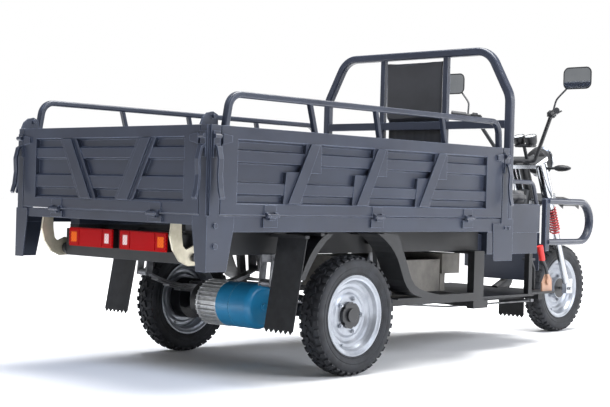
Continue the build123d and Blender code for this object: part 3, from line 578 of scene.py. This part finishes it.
def roundedPlate(bm, spec, place, thick, inset=0.0, crown=0.0):
    wide, tall, corner = spec["wide"] / 2 - inset, spec["tall"] / 2 - inset, max(spec["corner"] - inset,
                                                                                 0.004)
    outline = []
    for cx, cy, start in ((1, 1, 0), (-1, 1, 90), (-1, -1, 180), (1, -1, 270)):
        for k in range(7):
            a = math.radians(start + 15 * k)
            outline.append((cx * (wide - corner) + corner * math.cos(a),
                            cy * (tall - corner) + corner * math.sin(a)))
    front = [bm.verts.new(place @ Vector((x, y, thick))) for x, y in outline]
    back = [bm.verts.new(place @ Vector((x * (1 - crown), y * (1 - crown), 0))) for x, y in outline]
    count = len(outline)
    bm.faces.new(front)
    bm.faces.new(list(reversed(back)))
    for k in range(count):
        bm.faces.new((front[k], back[k], back[(k + 1) % count], front[(k + 1) % count]))


mirrorParts, glassParts = [], []
for side in (1, -1):
    centre = at(side * mirrorSpec["centre"][0], mirrorSpec["centre"][1] + mirrorSpec["ahead"],
                mirrorSpec["centre"][2])
    look = facing(centre, (0, -1, 0))
    glassFoot = mirrorSpec["depth"] - mirrorSpec["glass"]
    bm = bmesh.new()
    roundedPlate(bm, mirrorSpec, look, glassFoot, 0.0, mirrorSpec["crown"])
    mirrorParts.append(meshObject("mirrorShell", bm, blackPlastic, 40))
    bm = bmesh.new()
    roundedPlate(bm, mirrorSpec, look @ Matrix.Translation((0, 0, glassFoot)), 0.0008, 0.007)
    glassParts.append(meshObject("mirrorFace", bm, silverGlass))
    stem = bpy.data.curves.new("mirrorStem", "CURVE")
    stem.dimensions, stem.bevel_depth, stem.bevel_resolution = "3D", mirrorSpec["stem"], 4
    line = stem.splines.new("NURBS")
    points = [at(side * x, y, z) for x, y, z in mirrorSpec["stemPath"]]
    line.points.add(len(points) - 1)
    for point, place in zip(line.points, points):
        point.co = (*place, 1)
    line.order_u, line.use_endpoint_u = 3, True
    stemObj = bpy.data.objects.new("mirrorStem", stem)
    scene.collection.objects.link(stemObj)
    deps = bpy.context.evaluated_depsgraph_get()
    mesh = bpy.data.meshes.new_from_object(stemObj.evaluated_get(deps))
    mesh.materials.clear()
    mesh.materials.append(blackPlastic)
    bpy.data.objects.remove(stemObj)
    solid = bpy.data.objects.new("mirrorStem", mesh)
    scene.collection.objects.link(solid)
    mirrorParts.append(solid)
mirrorPair = joined("mirrorShells", mirrorParts)
glassPair = joined("mirrorFaces", glassParts)
for obj in (mirrorPair, glassPair):
    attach(obj, "steering")
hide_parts("mirrors")

lampSpec = {"centre": (0, 2.300, 1.008), "radius": 0.090}
lampPlace = facing(at(*lampSpec["centre"]), (0, 1, 0))
bm = bmesh.new()
r = lampSpec["radius"]  # the profiles run from the back of the bowl to the lens
turned(bm, [(0.0, -0.060), (0.045, -0.058), (0.070, -0.046), (0.080, -0.020), (0.082, 0.0),
            (r - 0.016, 0.004),
            (0.0, -0.040)], 64, lampPlace)
bowl = meshObject("headlightBowl", bm, blackPlastic, 35)
bm = bmesh.new()
ringLine = [(0.0815, -0.002), (r, 0.001), (r, 0.008), (r - 0.004, 0.014), (r - 0.010, 0.0155),
            (r - 0.014, 0.012),
            (r - 0.016, 0.004)]
turned(bm, ringLine + [ringLine[0]], 64, lampPlace)
bmesh.ops.remove_doubles(bm, verts=bm.verts, dist=1e-5)
ring = meshObject("headlightRing", bm, brightChrome, 35)
bm = bmesh.new()
turned(bm, [(0.0, 0.0135), (0.03, 0.013), (0.055, 0.0115), (r - 0.015, 0.0075), (r - 0.015, 0.0045),
            (0.055, 0.008),
            (0.0, 0.0105)], 64, lampPlace)
lens = meshObject("headlightLens", bm, whiteLens, 60)
for obj, slot in ((bowl, "black_plastic"), (ring, "chrome"), (lens, "chrome")):
    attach(obj, "steering")
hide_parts("headlight")

gaugeSpec = {"side": 0.040, "y": 2.1500, "z": 1.1010, "lean": (0, -0.34, 0.94), "post": (0.010, 0.080),
             "postFoot": (0.828, 0.045), "base": (0.12, 0.062, 0.018), "baseY": 2.144, "baseZ": 1.095}
gaugeParts, dials = [], []
for side in (1, -1):
    place = facing(at(side * gaugeSpec["side"], gaugeSpec["y"], gaugeSpec["z"]), gaugeSpec["lean"])
    bm = bmesh.new()
    turned(bm, [(0.0, -0.004), (0.026, -0.002), (0.033, 0.012), (0.0355, 0.030), (0.036, 0.050),
                (0.033, 0.055),
                (0.031, 0.052), (0.030, 0.046), (0.0, 0.046)], 40, place)
    gaugeParts.append(meshObject("gaugeCup", bm, blackPlastic, 40))
    bm = bmesh.new()
    turned(bm, [(0.0, 0.056), (0.018, 0.0555), (0.0305, 0.052), (0.0305, 0.050), (0.0, 0.050)], 40, place)
    dials.append(meshObject("gaugeFace", bm, whiteLens, 60))
bm = bmesh.new()
postRadius, postHeight = gaugeSpec["post"]
foot, ahead = gaugeSpec["postFoot"]
turned(bm, [(0.0, 0.0), (postRadius, 0.0), (postRadius, postHeight), (0.0, postHeight)], 20,
       facing(onAxis(foot, 0, ahead), axisUp))
gaugeParts.append(meshObject("gaugePost", bm, blackPlastic, 40))
bm = bmesh.new()
bmesh.ops.create_cube(bm, size=1, matrix=Matrix.Translation(at(0, gaugeSpec["baseY"], gaugeSpec["baseZ"]))
                      @ Matrix.Diagonal((*gaugeSpec["base"], 1)))
bmesh.ops.bevel(bm, geom=bm.edges[:], offset=0.006, segments=3, affect="EDGES")
gaugeParts.append(meshObject("gaugeBase", bm, blackPlastic, 40))
gaugePair, dialPair = joined("gaugeCups", gaugeParts), joined("gaugeFaces", dials)
for obj in (gaugePair, dialPair):
    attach(obj, "steering")
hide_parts("gauges")

signalSpec = {"root": (0.104, 2.226, 0.968), "lens": (0.195, 2.230, 0.968)}
signalParts, signalLens = [], []
for side in (1, -1):
    x, y, z = signalSpec["root"]
    place = facing(at(side * x, y, z), (side, 0, 0))
    bm = bmesh.new()
    turned(bm, [(0.0, 0.0), (0.008, 0.0), (0.008, 0.046), (0.012, 0.050), (0.018, 0.072), (0.0185, 0.100),
                (0.014, 0.132),
                (0.007, 0.150), (0.0, 0.155)], 32, place)
    signalParts.append(meshObject("signalBody", bm, blackPlastic, 40))
    x, y, z = signalSpec["lens"]
    bm = bmesh.new()
    turned(bm, [(0.0, 0.0), (0.015, 0.0), (0.0155, 0.008), (0.012, 0.013), (0.0, 0.0155)], 24,
           facing(at(side * x, y, z), (0, 1, 0)))
    signalLens.append(meshObject("signalLens", bm, amberLens, 40))
signalPair, signalFace = joined("signalBodies", signalParts), joined("signalLenses", signalLens)
for obj in (signalPair, signalFace):
    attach(obj, "steering")
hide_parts("turn_signals")
print("steering head dressed")

# switch pods and brake levers on the bar, beside the grips

podSpec = {"place": (0.262, 2.000, 1.262), "along": (0.72, -0.69, 0.10), "size": (0.046, 0.040, 0.044),
           "clamp": (0.030, 0.026, 0.024),
           "clampBack": 0.030, "lever": (0.012, 0.007, 0.105), "leverFoot": (0.010, 0.036, 0.004)}


def boxPiece(bm, size, place, corner):
    made = bmesh.ops.create_cube(bm, size=1, matrix=place @ Matrix.Diagonal((*size, 1)))
    edges = {edge for vert in made["verts"] for edge in vert.link_edges}
    bmesh.ops.bevel(bm, geom=list(edges), offset=corner, segments=3, affect="EDGES")


bm = bmesh.new()
for side in (1, -1):
    x, y, z = podSpec["place"]
    ax, ay, az = podSpec["along"]
    pod = facing(at(side * x, y, z), (side * ax, ay, az))
    boxPiece(bm, podSpec["size"], pod, 0.008)
    boxPiece(bm, podSpec["clamp"], pod @ Matrix.Translation((0, 0, -podSpec["clampBack"])), 0.006)
    dx, dy, dz = podSpec["leverFoot"]
    lever = facing(at(side * (x + dx), y + dy, z + dz), (side * ax, ay, az))
    boxPiece(bm, podSpec["lever"], lever @ Matrix.Translation((0, 0, podSpec["lever"][2] / 2)), 0.003)
pods = meshObject("switchPods", bm, blackPlastic, 40)
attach(pods, "steering")

# leg guards: a flat oval tube bent to a full half circle on a post plate, and the sheet between the posts

guardSpec = {"x": 0.278, "back": 1.950, "centreY": 2.294, "midZ": 0.663, "radius": 0.1135, "wide": 0.050,
             "thick": 0.033,
             "corner": 0.0145, "bend": 24, "post": (0.032, 0.040, 0.290), "postY": 1.945, "postZ": 0.645}
shieldSpec = {"half": 0.252, "y": 1.9285, "thick": 0.003, "low": 0.330, "high": 0.600, "corner": 0.060}


def guardLoop(bm, side, spec):
    # stations (place, outward direction) along the bend, one rounded section at each
    stations = [(Vector((spec["back"], spec["midZ"] + spec["radius"])), Vector((0, 1)))]
    for k in range(spec["bend"] + 1):
        a = math.pi / 2 - math.pi * k / spec["bend"]
        out = Vector((math.cos(a), math.sin(a)))
        stations.append((Vector((spec["centreY"], spec["midZ"])) + spec["radius"] * out, out))
    stations.append((Vector((spec["back"], spec["midZ"] - spec["radius"])), Vector((0, -1))))
    section = []
    for cx, cy, start in ((1, 1, 0), (-1, 1, 90), (-1, -1, 180), (1, -1, 270)):
        for k in range(5):
            a = math.radians(start + 22.5 * k)
            section.append((cx * (spec["wide"] / 2 - spec["corner"]) + spec["corner"] * math.cos(a),
                            cy * (spec["thick"] / 2 - spec["corner"]) + spec["corner"] * math.sin(a)))
    rings = []
    for place, out in stations:
        rings.append([bm.verts.new(at(side * spec["x"] + u, place.x + v * out.x, place.y + v * out.y)) for u,
                      v in section])
    for one, two in zip(rings, rings[1:]):
        for k in range(len(section)):
            bm.faces.new((one[k], one[(k + 1) % len(section)], two[(k + 1) % len(section)], two[k]))
    bm.faces.new(rings[0])
    bm.faces.new(list(reversed(rings[-1])))


bm = bmesh.new()
for side in (1, -1):
    guardLoop(bm, side, guardSpec)
    post = at(side * guardSpec["x"], guardSpec["postY"], guardSpec["postZ"])
    boxPiece(bm, guardSpec["post"], Matrix.Translation(post), 0.003)
guards = meshObject("legGuardLoops", bm, slatePaint, 40)
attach(guards, "chassis")
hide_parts("leg_guards")

bm = bmesh.new()
size = (shieldSpec["half"] * 2, shieldSpec["thick"], shieldSpec["high"] - shieldSpec["low"])
bmesh.ops.create_cube(bm, size=1, matrix=Matrix.Translation(at(0, shieldSpec["y"],
                                                               (shieldSpec["high"] + shieldSpec["low"]) / 2))
                      @ Matrix.Diagonal((*size, 1)))
upright = [edge for edge in bm.edges if abs(edge.verts[0].co.y - edge.verts[1].co.y) > 1e-4
           and edge.verts[0].co.z < shieldSpec["low"] + 0.01]
bmesh.ops.bevel(bm, geom=upright, offset=shieldSpec["corner"], segments=6, affect="EDGES")
shield = meshObject("legShield", bm, slatePaint, 40)
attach(shield, "chassis")
print("guards and switches made")

# cushion and backrest, swollen as cloth from a slightly smaller form

padSpec = {"voxel": 0.006, "pressure": 4.0, "frames": 20, "cap": 0.008}
seatSpec = {"shrink": 0.008, "channels": 5, "channelDepth": 0.009, "channelWidth": 0.009, "seam": 0.6,
            "seamDepth": 0.003}
backSpec = {"half": 0.190, "low": 0.960, "high": 1.488, "bend": (1.170, 1.195), "upperY": 1.094,
            "lowerY": 1.114,
            "thick": (0.006, 0.012), "crease": 0.0026, "slack": 0.0045, "hem": 0.016}


def seatStart(low, high):
    middle, size = (low + high) / 2, (high - low) - Vector((1, 1, 1)) * 2 * seatSpec["shrink"]
    bm = bmesh.new()
    bmesh.ops.create_cube(bm, size=1, matrix=Matrix.Translation(middle) @ Matrix.Diagonal((*size, 1)))
    bmesh.ops.bevel(bm, geom=bm.edges[:], offset=0.018, segments=4, affect="EDGES")
    return bm


def backStart(low, high):
    # a slack sheet that passes in front of the posts and behind the cross tube
    bm = bmesh.new()
    spec, rows, columns = backSpec, 60, 40
    front, back = [], []
    for i in range(rows + 1):
        z = spec["low"] + 0.004 + (spec["high"] - spec["low"] - 0.008) * i / rows
        share = min(max((z - spec["bend"][0]) / (spec["bend"][1] - spec["bend"][0]), 0), 1)
        share = share * share * (3 - 2 * share)
        y = spec["lowerY"] + (spec["upperY"] - spec["lowerY"]) * share
        half = (spec["thick"][0] + (spec["thick"][1] - spec["thick"][0]) * share) / 2
        xs = [spec["half"] * (2 * k / columns - 1) for k in range(columns + 1)]
        front.append([bm.verts.new(at(x, y + half, z)) for x in xs])
        back.append([bm.verts.new(at(x, y - half, z)) for x in xs])
    for i in range(rows):
        for k in range(columns):
            bm.faces.new((front[i][k], front[i][k + 1], front[i + 1][k + 1], front[i + 1][k]))
            bm.faces.new((back[i][k], back[i + 1][k], back[i + 1][k + 1], back[i][k + 1]))
        for k in (0, columns):
            bm.faces.new((front[i][k], front[i + 1][k], back[i + 1][k], back[i][k]))
    for i in (0, rows):
        for k in range(columns):
            bm.faces.new((front[i][k], back[i][k], back[i][k + 1], front[i][k + 1]))
    return bm


def seatFolds(p, n, low, high):
    # sewn cross channels on the crowned top and a seam round the side
    top = min(max(0.0, (p.z - (low.z + high.z) / 2) / (high.z - low.z) * 2.5), 1.0)
    pitch = (high.x - low.x) / (seatSpec["channels"] + 1)
    line = min(abs(p.x - low.x - k * pitch) for k in range(1, seatSpec["channels"] + 1))
    sink = -seatSpec["channelDepth"] * top * math.exp(-(line / seatSpec["channelWidth"]) ** 2)
    seamHeight = low.z + seatSpec["seam"] * (high.z - low.z)
    sink -= seatSpec["seamDepth"] * math.exp(-((p.z - seamHeight) / 0.004) ** 2) * (1 - abs(n.z))
    return sink + 0.0012 * noise.noise(p * 18)


def backFolds(p, n, low, high):
    # creases run down from the tied corners, the hems stay flat
    across, down = p.x / backSpec["half"], (backSpec["high"] - p.z) / 0.5
    fan = noise.noise(Vector((p.x * 13 * (1 + 0.5 * down), p.z * 3.0, 3.0 if across > 0 else 8.0)))
    slack = noise.noise(Vector((p.x * 6, p.z * 5, 1.0)))
    edge = min(1.0, (backSpec["half"] - abs(p.x)) / 0.03)
    ridge = (1 - abs(fan)) ** 3
    hem = math.exp(-((backSpec["half"] - backSpec["hem"] - abs(p.x)) / 0.002) ** 2)
    outward = 1 if n.y < 0 else -1
    return outward * edge * (backSpec["slack"] * slack + backSpec["crease"] * (ridge - 0.5)) - 0.0012 * hem


def paddedForm(name, node, body, finish, start, folds):
    low, high = (Vector(corner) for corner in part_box(node))
    pad = meshObject(name, start(low, high), finish)
    remesh = pad.modifiers.new("even", "REMESH")
    remesh.mode, remesh.voxel_size = "VOXEL", padSpec["voxel"]
    applyAll(pad)
    rest = [v.co.copy() for v in pad.data.vertices]
    cloth = pad.modifiers.new("swell", "CLOTH")
    cloth.settings.use_pressure = True
    cloth.settings.uniform_pressure_force = padSpec["pressure"]
    cloth.settings.effector_weights.gravity = 0
    cloth.settings.quality = 4
    for step in range(1, padSpec["frames"] + 1):
        scene.frame_set(step)
    applyAll(pad)
    scene.frame_set(1)
    for vert, home in zip(pad.data.vertices, rest):
        move = vert.co - home
        if move.length > padSpec["cap"]:
            vert.co = home + move.normalized() * padSpec["cap"]
    pad.data.update()
    moved = [v.co + v.normal * folds(v.co, v.normal, low, high) for v in pad.data.vertices]
    for vert, place in zip(pad.data.vertices, moved):
        vert.co = [min(max(place[k], low[k] + 0.0005), high[k] - 0.0005) for k in range(3)]
    fine = pad.modifiers.new("fine", "SUBSURF")
    fine.levels = fine.render_levels = 1
    applyAll(pad)
    for poly in pad.data.polygons:
        poly.use_smooth = True
    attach(pad, body)
    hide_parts(node)
    return pad


paddedForm("seatPad", "seat_cushion", "chassis", blackVinyl, seatStart, seatFolds)
paddedForm("backPad", "backrest", "bed", blackVinyl, backStart, backFolds)
print("pads made")

# camera, light and floor

studio = {"photo": (610, 407), "focalPixels": 1292.96, "eye": (4.18945, -4.21495, 0.76959),
          "look": (-0.68165397, 0.73164987, -0.00602736), "up": (-0.02438444, -0.01448345, 0.99959773)}
camData = bpy.data.cameras.new("photoCamera")
cam = bpy.data.objects.new("photoCamera", camData)
scene.collection.objects.link(cam)
camData.sensor_width = 36.0
camData.lens = studio["focalPixels"] * 36.0 / studio["photo"][0]
look, up = Vector(studio["look"]).normalized(), Vector(studio["up"]).normalized()
right = look.cross(up).normalized()
basis = Matrix((right, right.cross(look), -look)).transposed().to_4x4()
cam.matrix_world = Matrix.Translation(at(*studio["eye"])) @ basis
camData.clip_start, camData.clip_end = 0.1, 200
scene.camera = cam


def softbox(name, place, target, size, power, colour="#ffffff"):
    light = bpy.data.lights.new(name, "AREA")
    light.shape, light.size, light.size_y, light.energy = "RECTANGLE", size[0], size[1], power
    light.color = linear(colour)[:3]
    obj = bpy.data.objects.new(name, light)
    obj.location = place
    obj.rotation_mode = "QUATERNION"
    obj.rotation_quaternion = (Vector(target) - Vector(place)).to_track_quat("-Z", "Y")
    scene.collection.objects.link(obj)


scene.view_settings.view_transform = "Standard"
softbox("keyLight", (7.5, 1.5, 4.0), (0, 0.2, 0.6), (5.0, 3.0), 480, "#eef4ff")
softbox("topLight", (0.2, 0.2, 4.5), (0, 0, 0), (2.4, 4.4), 520)
softbox("rearSky", (-1.0, -4.6, 5.2), (0, -0.4, 0.9), (3.5, 2.0), 150, "#cfe0ff")
softbox("frontFill", (2.5, 7.0, 2.2), (0, 1, 0.6), (3.0, 2.5), 150)

world = bpy.data.worlds.new("whiteStudio")
scene.world = world
world.use_nodes = True
wt = world.node_tree
wt.nodes.clear()
glow = addNode(wt, "ShaderNodeBackground", {"Color": (1, 1, 1, 1), "Strength": 0.36})
clean = addNode(wt, "ShaderNodeBackground", {"Color": (1, 1, 1, 1), "Strength": 1.0})
seen = addNode(wt, "ShaderNodeLightPath")
mix = addNode(wt, "ShaderNodeMixShader", None,
              {0: seen.outputs["Is Camera Ray"], 1: glow.outputs[0], 2: clean.outputs[0]})
addNode(wt, "ShaderNodeOutputWorld", None, {0: mix.outputs[0]})

bm = bmesh.new()
bmesh.ops.create_grid(bm, x_segments=1, y_segments=1, size=60)
floorMat, floorTree, floorShader, floorPlace = newMaterial("paintedStudioFloor", {"Roughness": 0.9,
                                                                                  "Specular IOR Level": 0.05})
floorShader.inputs["Emission Color"].default_value = (1, 1, 1, 1)
floorTree.links.new(mottle(floorTree, floorPlace, "#f6f6f7", "#fbfbfb", 1.5),
                    floorShader.inputs["Base Color"])
footprint = (0.45, 1.55, 100)  # half sizes of the ground that stays in shadow, metres
mirrored = addNode(floorTree, "ShaderNodeVectorMath", {"operation": "ABSOLUTE"}, {0: floorPlace})
beyond = addNode(floorTree, "ShaderNodeVectorMath", {"operation": "SUBTRACT", 1: footprint},
                 {0: mirrored.outputs[0]})
outside = addNode(floorTree, "ShaderNodeVectorMath", {"operation": "MAXIMUM", 1: (0, 0, 0)},
                  {0: beyond.outputs[0]})
spread = addNode(floorTree, "ShaderNodeVectorMath", {"operation": "LENGTH"}, {0: outside.outputs[0]})
fade = addNode(floorTree, "ShaderNodeMapRange",
               {"interpolation_type": "SMOOTHSTEP", "From Min": 0.15, "From Max": 1.7,
                                                 "To Min": 0.0, "To Max": 0.8},
                                                 {"Value": spread.outputs["Value"]})
floorTree.links.new(fade.outputs["Result"],
                    floorShader.inputs["Emission Strength"])  # far floor glows to white
floor = meshObject("studioFloor", bm, floorMat)
print("studio lit")
